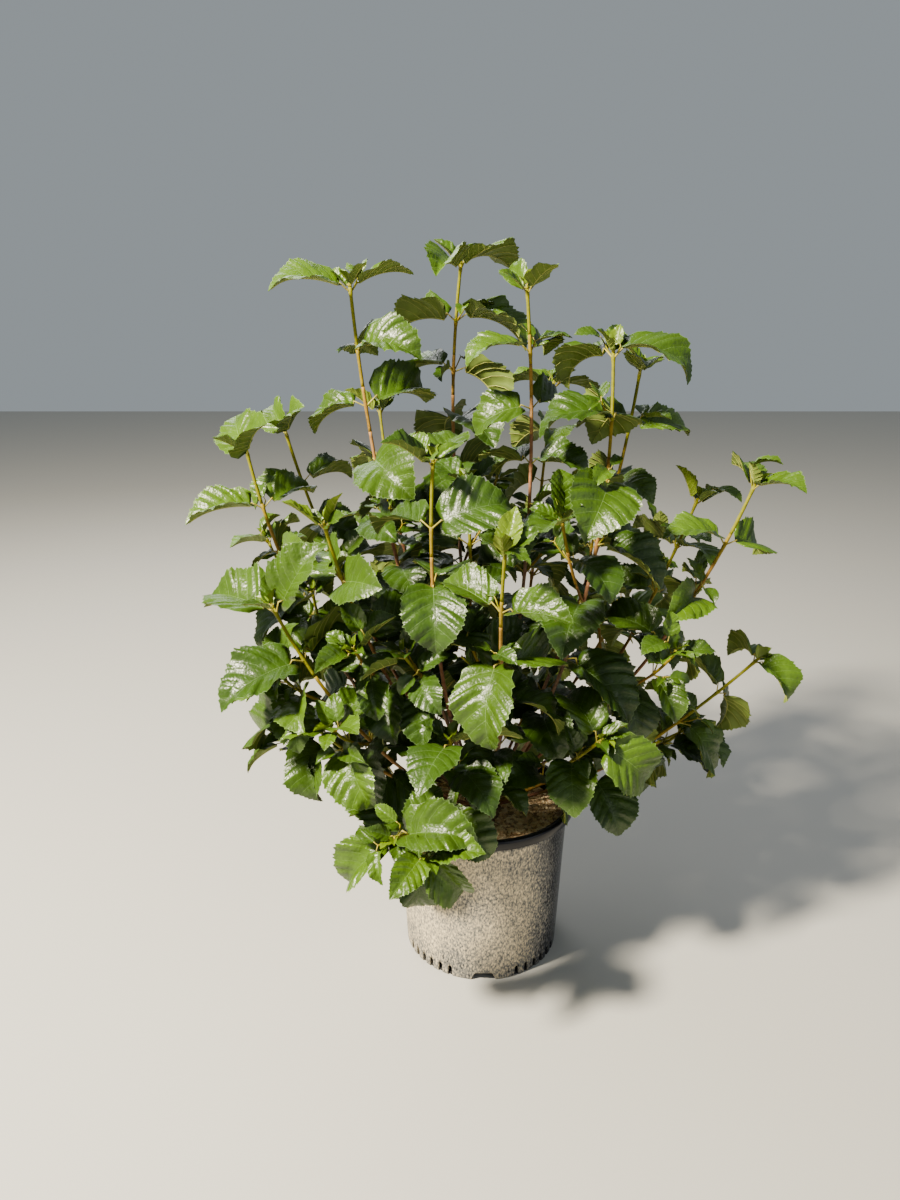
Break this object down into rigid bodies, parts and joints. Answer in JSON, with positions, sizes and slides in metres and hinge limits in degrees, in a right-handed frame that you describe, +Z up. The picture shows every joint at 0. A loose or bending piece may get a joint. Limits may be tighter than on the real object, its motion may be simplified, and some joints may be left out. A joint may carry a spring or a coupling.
{
  "type": "potted arrowwood viburnum",
  "caption": "Young deciduous nursery shrub with upright leafy canes fanning from a woody foot, growing in a tapered black plastic nursery pot.",
  "frame": {"origin": "centre of the pot's flat underside, on the ground", "axes": "+Z up along the pot's axis, -Y towards the picture's camera, +X to the right in the picture"},
  "size_m": [0.8418, 0.7398, 1.0421],
  "materials": {
    "pot": "moulded black plastic, matt with dried mud on it",
    "potting_mix": "loose ground bark",
    "bark": "rough bark",
    "cane": "smooth young bark",
    "leaf": "glossy green leaves with sunken veins"
  },
  "bodies": {
    "root": {"cane_centre_rear": "cane", "cane_centre_tall": "cane", "cane_front_centre": "cane", "cane_front_left": "cane", "cane_front_low": "cane", "cane_front_low_left": "cane", "cane_front_low_right": "cane", "cane_left_low": "cane", "cane_left_lowest": "cane", "cane_left_outer": "cane", "cane_left_rear": "cane", "cane_left_tall": "cane", "cane_middle": "cane", "cane_middle_left": "cane", "cane_rear_left": "cane", "cane_rear_left_outer": "cane", "cane_rear_low": "cane", "cane_rear_low_left": "cane", "cane_rear_low_right": "cane", "cane_rear_right": "cane", "cane_rear_right_outer": "cane", "cane_right_low": "cane", "cane_right_lowest": "cane", "cane_right_outer": "cane", "cane_right_rear": "cane", "cane_right_tall": "cane", "cane_right_tall_rear": "cane", "leaves_centre_rear": "leaf", "leaves_centre_tall": "leaf", "leaves_front_centre": "leaf", "leaves_front_left": "leaf", "leaves_front_low": "leaf", "leaves_front_low_left": "leaf", "leaves_front_low_right": "leaf", "leaves_left_low": "leaf", "leaves_left_lowest": "leaf", "leaves_left_outer": "leaf", "leaves_left_rear": "leaf", "leaves_left_tall": "leaf", "leaves_middle": "leaf", "leaves_middle_left": "leaf", "leaves_rear_left": "leaf", "leaves_rear_left_outer": "leaf", "leaves_rear_low": "leaf", "leaves_rear_low_left": "leaf", "leaves_rear_low_right": "leaf", "leaves_rear_right": "leaf", "leaves_rear_right_outer": "leaf", "leaves_right_low": "leaf", "leaves_right_lowest": "leaf", "leaves_right_outer": "leaf", "leaves_right_rear": "leaf", "leaves_right_tall": "leaf", "leaves_right_tall_rear": "leaf", "pot": "pot", "potting_mix": "potting_mix", "root_crown": "bark"}
  },
  "joints": []
}
